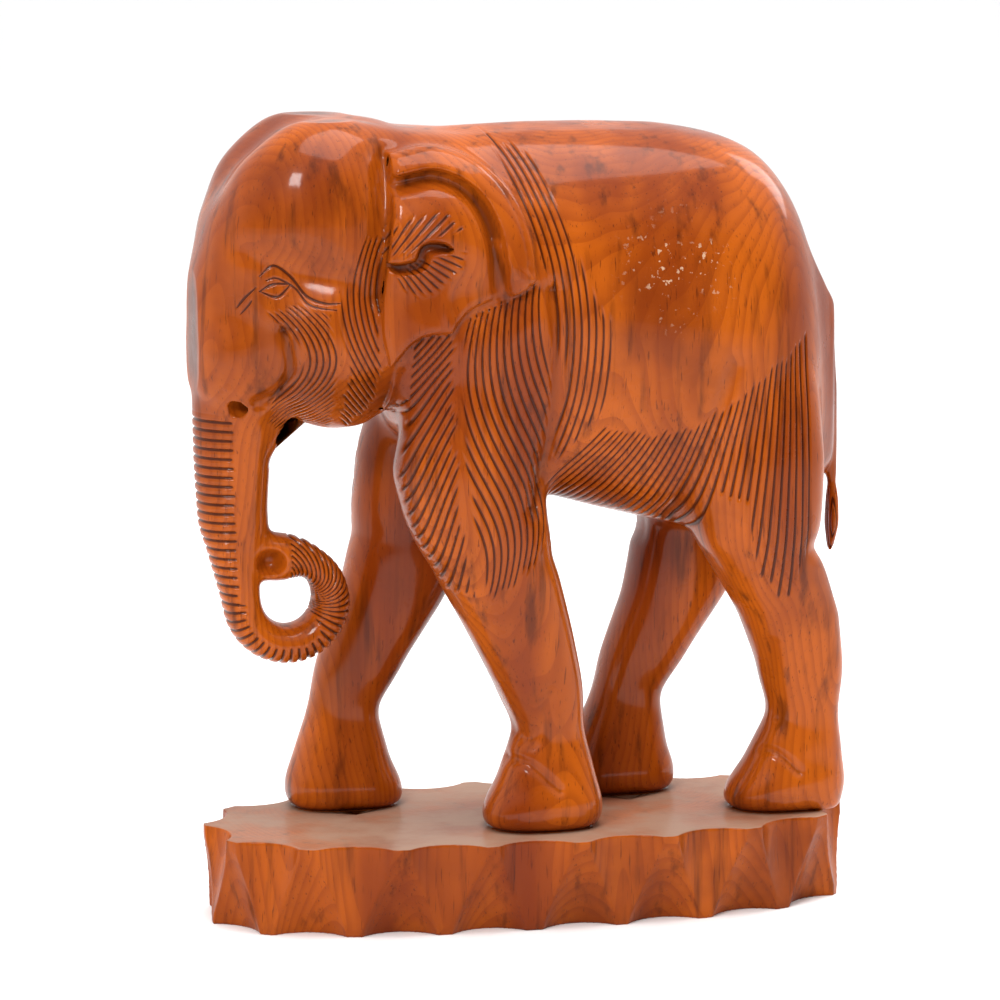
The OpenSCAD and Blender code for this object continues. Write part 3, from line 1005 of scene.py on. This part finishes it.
def carved_mesh(clay):
    """The whole surface with its strokes, and the values that its materials paint shade by."""
    points, quads = surface_of(clay)
    mesh = made_mesh("carving", points, quads.ravel(), np.full(len(quads), 4))
    saw(mesh)
    points = mesh_points(mesh)
    labels = node_labels(clay, points)
    refine(mesh, near_strokes(points, labels))
    points = mesh_points(mesh)
    normals = mesh_normals(mesh)
    points -= normals * clay.sample(clay.block, points)[:, None]
    labels = node_labels(clay, points)
    depth, groove = strokes_at(points, normals, labels)
    points -= normals * depth[:, None]
    points = np.clip(points, LOWEST, HIGHEST)
    mesh.vertices.foreach_set("co", (points * MM).astype(np.float32).ravel())
    mesh.update()
    soft = blurred(clay.block, HOLLOW_BLUR)
    add_values(mesh, "groove", groove)
    add_values(mesh, "edge", clay.sample(soft, points))
    return mesh


def corners_of(mesh):
    """How many corners each face has, the vertex of every corner, and the vertex after it."""
    first = read(mesh.polygons, "loop_start", kind=np.int32)
    count = read(mesh.polygons, "loop_total", kind=np.int32)
    vertex = read(mesh.loops, "vertex_index", kind=np.int32)
    corner = np.arange(len(vertex)) - np.repeat(first, count)
    last = corner == np.repeat(count, count) - 1
    step = np.where(last, -corner, 1)
    return count, vertex, vertex[np.arange(len(vertex)) + step]


def rims(starts, ends):
    """Groups the edges of an open rim into loops, as lists of edge numbers."""
    parent = {}

    def root(v):
        while parent.setdefault(v, v) != v:
            v = parent[v]
        return v

    for a, b in zip(starts, ends):
        parent[root(a)] = root(b)
    groups = {}
    for i, a in enumerate(starts):
        groups.setdefault(root(a), []).append(i)
    return list(groups.values())


# The middle of a cap is drawn in towards the middle plane, so that the cap under an ear is sunk
CAP_SINK = (1, 0.3, 1)


def closing_fans(vertex, after, points):
    """Triangles from the middle of each open rim that close it, and those middles."""
    total = len(points)
    code = vertex.astype(np.int64) * total + after
    back = after.astype(np.int64) * total + vertex
    lone = ~np.isin(code, back)
    starts, ends = vertex[lone], after[lone]
    middles, fans = [], []
    for rim in rims(starts, ends):
        hub = total + len(middles)
        middles.append(points[starts[rim]].mean(0) * CAP_SINK)
        fans.extend((ends[i], starts[i], hub) for i in rim)
    return middles, fans


def linked(name, data):
    """An object in the scene."""
    made = bpy.data.objects.new(name, data)
    bpy.context.scene.collection.objects.link(made)
    return made


def shade_smooth(mesh, normals, cap_points):
    """Shades a piece with the whole surface's normals, so that no saw cut shows."""
    mesh.polygons.foreach_set("use_smooth", [True] * len(mesh.polygons))
    ups = np.tile((0.0, 0.0, 1.0), (cap_points, 1))
    mesh.normals_split_custom_set_from_vertices(np.vstack([normals, ups]))


def sawn_pieces(clay, mesh):
    """One closed object for each node, cut out of the whole surface."""
    centres = read(mesh.polygons, "center", 3).astype(float) / MM
    labels = node_labels(clay, centres)
    count, vertex, after = corners_of(mesh)
    points, normals = mesh_points(mesh), mesh_normals(mesh)
    values = {name: read(mesh.attributes[name].data, "value") for name in VALUE_NAMES}
    pieces = {}
    for number, name in enumerate(NODES):
        wanted = np.repeat(labels == number, count)
        used, index = np.unique(vertex[wanted], return_inverse=True)
        place = np.full(len(points), -1)
        place[used] = np.arange(len(used))
        middles, fans = closing_fans(index, place[after[wanted]], points[used])
        sizes = np.concatenate([count[labels == number], np.full(len(fans), 3)])
        corners = np.concatenate([index, np.array(fans, int).ravel()])
        piece = made_mesh(name + "_carved", np.vstack([points[used], *middles]), corners, sizes)
        for value_name, whole in values.items():
            add_values(piece, value_name, np.append(whole[used], [0] * len(middles)))
        shade_smooth(piece, normals[used], len(middles))
        pieces[name] = linked(piece.name, piece)
    return pieces


# ---- Materials ----


class Nodes:
    """Adds nodes to a tree; an input's name may be its number after an underline."""

    def __init__(self, tree):
        self.tree = tree

    def node(self, kind, **inputs):
        made = self.tree.nodes.new(kind)
        for name, value in inputs.items():
            self.feed(made, name, value)
        return made

    def feed(self, node, name, value):
        socket = node.inputs[int(name[1:])] if name[0] == "_" else node.inputs[name]
        if isinstance(value, bpy.types.NodeSocket):
            self.tree.links.new(value, socket)
        else:
            socket.default_value = value

    def math(self, operation, a, b=0.0, c=0.0):
        made = self.node("ShaderNodeMath", _0=a, _1=b, _2=c)
        made.operation = operation
        return made.outputs[0]

    def vector_math(self, operation, a, b):
        made = self.node("ShaderNodeVectorMath", _0=a, _1=b)
        made.operation = operation
        return made.outputs

    def mix(self, factor, a, b):
        made = self.tree.nodes.new("ShaderNodeMix")
        made.data_type = "RGBA"
        self.feed(made, "_0", factor)
        self.feed(made, "_6", a)
        self.feed(made, "_7", b)
        return made.outputs[2]

    def between(self, value, low, high, to_low=0.0, to_high=1.0):
        """A smooth change from to_low to to_high while a value goes from low to high."""
        made = self.node("ShaderNodeMapRange", _0=value, _1=low, _2=high, _3=to_low, _4=to_high)
        made.interpolation_type = "SMOOTHSTEP"
        return made.outputs[0]


class Shader(Nodes):
    """A material made of nodes, with the place on the object that its noises are read at."""

    def __init__(self, name):
        self.material = bpy.data.materials.new(name)
        self.material.use_nodes = True
        super().__init__(self.material.node_tree)
        self.tree.nodes.clear()
        self.place = self.node("ShaderNodeTexCoord").outputs["Object"]

    def noise(self, scale, detail=4.0):
        """Noise over the object; a scale along X, Y and Z draws it out."""
        place = self.place
        if isinstance(scale, tuple):
            place = self.node("ShaderNodeMapping", Vector=place, Scale=scale).outputs[0]
            scale = 1.0
        made = self.node("ShaderNodeTexNoise", Vector=place, Scale=scale, Detail=detail,
                         Roughness=0.55)
        return made.outputs["Fac"]

    def value(self, name):
        made = self.tree.nodes.new("ShaderNodeAttribute")
        made.attribute_name = name
        return made.outputs["Fac"]

    def surface(self, **inputs):
        """The surface's shader, joined to the output; a constant is set on its own socket."""
        made = self.node("ShaderNodeBsdfPrincipled", **inputs)
        out = self.tree.nodes.new("ShaderNodeOutputMaterial")
        self.tree.links.new(made.outputs[0], out.inputs["Surface"])
        return made


# Colours of the wood, as linear red, green and blue; umber is also painted as shade in the grooves
# and hollow places
HONEY = (0.43, 0.086, 0.004, 1)
RUSSET = (0.19, 0.027, 0.002, 1)
AUBURN = (0.11, 0.014, 0.0015, 1)
UMBER = (0.035, 0.005, 0.001, 1)
DUST = (0.36, 0.22, 0.15, 1)
WORN = (0.62, 0.42, 0.27, 1)

# The pith of the log runs up through this place, beside and behind the far shoulder
PITH = (0.03, 0.075, 0.0)
RING_WIDTH = 0.0042
WAVE_HEIGHT = 0.075
# Middle of the worn place on the near flank, and how far the flecks are scattered
FLECKS = (across(0.69) * MM, cad_low[1] * 0.93, upward(0.8) * MM)
FLECK_SPREAD = (0.01, 0.05)


def ring_place(shader):
    """How far a point is from the pith, in rings, with the waviness of real growth."""
    wave = shader.noise(scale=(5, 5, 1.6), detail=3.0)
    wave = shader.math("MULTIPLY_ADD", wave, WAVE_HEIGHT, -WAVE_HEIGHT / 2)
    moved = shader.vector_math("SUBTRACT", shader.place, PITH)[0]
    parts = shader.node("ShaderNodeSeparateXYZ", _0=moved)
    x, y = parts.outputs[0], parts.outputs[1]
    square = shader.math("ADD", shader.math("MULTIPLY", x, x), shader.math("MULTIPLY", y, y))
    reach = shader.math("ADD", shader.math("SQRT", square), wave)
    return shader.math("DIVIDE", reach, RING_WIDTH)


def wood_colour(shader):
    """Growth rings, clouds, long streaks and pores, as a colour and the depth of the pores."""
    ring = shader.math("FRACT", ring_place(shader))
    late = shader.between(ring, 0.35, 0.97)
    fall = shader.between(ring, 0.97, 1.0, to_low=1.0, to_high=0.0)
    late = shader.math("MULTIPLY", late, fall)
    broad = shader.noise(scale=(14, 14, 3.5), detail=3.0)
    tone = shader.between(broad, 0.32, 0.64)
    cloud = shader.between(shader.noise(9.0, detail=5.0), 0.5, 0.72, to_high=0.55)
    long = shader.noise(scale=(110, 110, 7), detail=5.0)
    streak = shader.between(long, 0.52, 0.74, to_high=0.6)
    fine = shader.noise(scale=(900, 900, 42), detail=2.0)
    pits = shader.between(fine, 0.62, 0.72)
    colour = shader.mix(tone, RUSSET, HONEY)
    colour = shader.mix(shader.math("MULTIPLY", late, 0.38), colour, RUSSET)
    colour = shader.mix(cloud, colour, AUBURN)
    colour = shader.mix(streak, colour, UMBER)
    return shader.mix(shader.math("MULTIPLY", pits, 0.55), colour, UMBER), pits


def worn_flecks(shader, colour):
    """Pale flecks of bare filler, scattered about one place on the flank."""
    away = shader.vector_math("DISTANCE", shader.place, FLECKS)["Value"]
    near = shader.between(away, *FLECK_SPREAD, to_low=0.75, to_high=0.0)
    speck = shader.between(shader.noise(260.0, detail=3.0), 0.61, 0.68)
    patch = shader.between(shader.noise(40.0, detail=2.0), 0.42, 0.6)
    share = shader.math("MULTIPLY", shader.math("MULTIPLY", near, speck), patch)
    return shader.mix(share, colour, WORN)


def painted_hollow_shade(shader):
    """Painted shade in the creases and hollow places of the wood: how dark they are painted, from how
    hollow the surface is about each point.
    """
    return shader.between(shader.value("edge"), -1.6, -0.15, to_low=0.8, to_high=0.0)


def dented(shader, chisel, pits, strength, depth):
    """The normals of a surface with chisel dents and open pores."""
    height = shader.math("MULTIPLY_ADD", pits, -0.25, chisel)
    made = shader.node("ShaderNodeBump", Height=height, Strength=strength, Distance=depth)
    return made.outputs[0]


def lacquer(surface, weight, roughness):
    """A clear coat; the wood under it hardly reflects."""
    surface.inputs["Specular IOR Level"].default_value = 0.05
    surface.inputs["Coat Weight"].default_value = weight
    surface.inputs["Coat Roughness"].default_value = roughness


def lacquered_wood():
    """The glossy wood of the animal, with painted shade in its strokes and hollow places."""
    shader = Shader("lacquered_wood")
    colour, pits = wood_colour(shader)
    colour = worn_flecks(shader, colour)
    # Painted shade: the grooves of the strokes and the hollow places are darkened towards umber
    line = shader.between(shader.value("groove"), 0.25, 0.8, to_high=0.85)
    colour = shader.mix(shader.math("MAXIMUM", line, painted_hollow_shade(shader)), colour, UMBER)
    roughness = shader.between(shader.noise(30.0), 0.3, 0.7, to_low=0.26, to_high=0.42)
    normal = dented(shader, shader.noise(55.0, detail=2.0), pits, 0.35, 0.0008)
    surface = shader.surface(Roughness=roughness, Normal=normal, _0=colour)
    lacquer(surface, weight=0.3, roughness=0.1)
    return shader.material


def base_wood():
    """The wood of the base, bare and dusty where it faces up."""
    shader = Shader("base_wood")
    colour, pits = wood_colour(shader)
    facing = shader.node("ShaderNodeNewGeometry").outputs["Normal"]
    up = shader.node("ShaderNodeSeparateXYZ", _0=facing).outputs[2]
    level = shader.between(up, 0.6, 0.9)
    patch = shader.between(shader.noise(22.0, detail=6.0), 0.3, 0.62, to_low=0.45, to_high=0.95)
    dust = shader.math("MULTIPLY", level, patch)
    colour = shader.mix(dust, colour, DUST)
    # Painted shade: the base is darkened towards umber in its creases and hollow places
    colour = shader.mix(painted_hollow_shade(shader), colour, UMBER)
    roughness = shader.math("MULTIPLY_ADD", dust, 0.35, 0.36)
    normal = dented(shader, shader.noise(scale=(30, 90, 30)), pits, 0.5, 0.0012)
    surface = shader.surface(Roughness=roughness, Normal=normal, _0=colour)
    lacquer(surface, weight=0.2, roughness=0.2)
    return shader.material


# ---- Stage ----

CAMERA_AZIMUTH = -14
CAMERA_ELEVATION = 9.5
CAMERA_DISTANCE = 3.4
CAMERA_LENS = 193
CAMERA_SENSOR = 36
CAMERA_REACH = 40
VIEW_CENTRE = Vector((-0.010, 0.025, 0.255))
LIGHT_TARGET = Vector((0, 0, 0.25))
FLOOR_HALF = 12.0
FLOOR_WHITE = (0.95, 0.95, 0.95, 1)
# The studio's bright side, and its strength on the dim side and on the bright one
BRIGHT_SIDE = (0, 1, 1.3)
DIM, BRIGHT = 0.1, 1.15


def add_floor():
    shader = Shader("floor_white")
    shader.surface(_0=FLOOR_WHITE, Roughness=0.6)
    mesh = bpy.data.meshes.new("floor")
    square = ((-1, -1), (1, -1), (1, 1), (-1, 1))
    mesh.from_pydata([(x * FLOOR_HALF, y * FLOOR_HALF, 0) for x, y in square], [], [(0, 1, 2, 3)])
    mesh.materials.append(shader.material)
    linked("floor", mesh)


def add_light(name, place, size, power):
    lamp = bpy.data.lights.new(name, "AREA")
    lamp.shape = "RECTANGLE"
    lamp.size, lamp.size_y = size
    lamp.energy = power
    made = linked(name, lamp)
    made.location = place
    made.rotation_euler = (LIGHT_TARGET - Vector(place)).to_track_quat("-Z", "Y").to_euler()


def add_lights():
    """A white studio: bright above and behind the object, dim on the camera's side."""
    world = bpy.data.worlds.new("studio")
    world.use_nodes = True
    nodes = Nodes(world.node_tree)
    way = nodes.node("ShaderNodeTexCoord").outputs["Generated"]
    towards = nodes.vector_math("DOT_PRODUCT", way, BRIGHT_SIDE)["Value"]
    background = world.node_tree.nodes["Background"]
    nodes.feed(background, "Strength", nodes.between(towards, -0.5, 0.5, DIM, BRIGHT))
    nodes.feed(background, "Color", (1, 1, 1, 1))
    bpy.context.scene.world = world
    add_light("key", place=(-1.2, -1.8, 1.8), size=(0.7, 0.5), power=36)
    add_light("top", place=(0.3, -0.2, 2.4), size=(2.0, 1.2), power=40)
    add_light("rim", place=(1.7, 0.9, 1.5), size=(0.8, 1.2), power=20)
    bpy.context.scene.view_settings.view_transform = "Standard"


def add_camera():
    azimuth = math.radians(CAMERA_AZIMUTH)
    elevation = math.radians(CAMERA_ELEVATION)
    back = Vector((
        math.sin(azimuth) * math.cos(elevation),
        -math.cos(azimuth) * math.cos(elevation),
        math.sin(elevation),
    ))
    data = bpy.data.cameras.new("camera")
    data.lens = CAMERA_LENS
    data.sensor_width = CAMERA_SENSOR
    data.clip_end = CAMERA_REACH
    camera = linked("camera", data)
    camera.location = VIEW_CENTRE + back * CAMERA_DISTANCE
    camera.rotation_euler = (-back).to_track_quat("-Z", "Y").to_euler()
    bpy.context.scene.camera = camera


# ---- The object ----


def build():
    """Carves the animal, and puts each carved piece in the place of its CAD node."""
    clay = joined_clay()
    pieces = sawn_pieces(clay, carved_mesh(clay))
    wood, foot = lacquered_wood(), base_wood()
    for name, piece in pieces.items():
        on_base = name == "base"
        piece.data.materials.append(foot if on_base else wood)
        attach(piece, "root")
        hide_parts(name)


add_camera()
add_lights()
add_floor()
build()
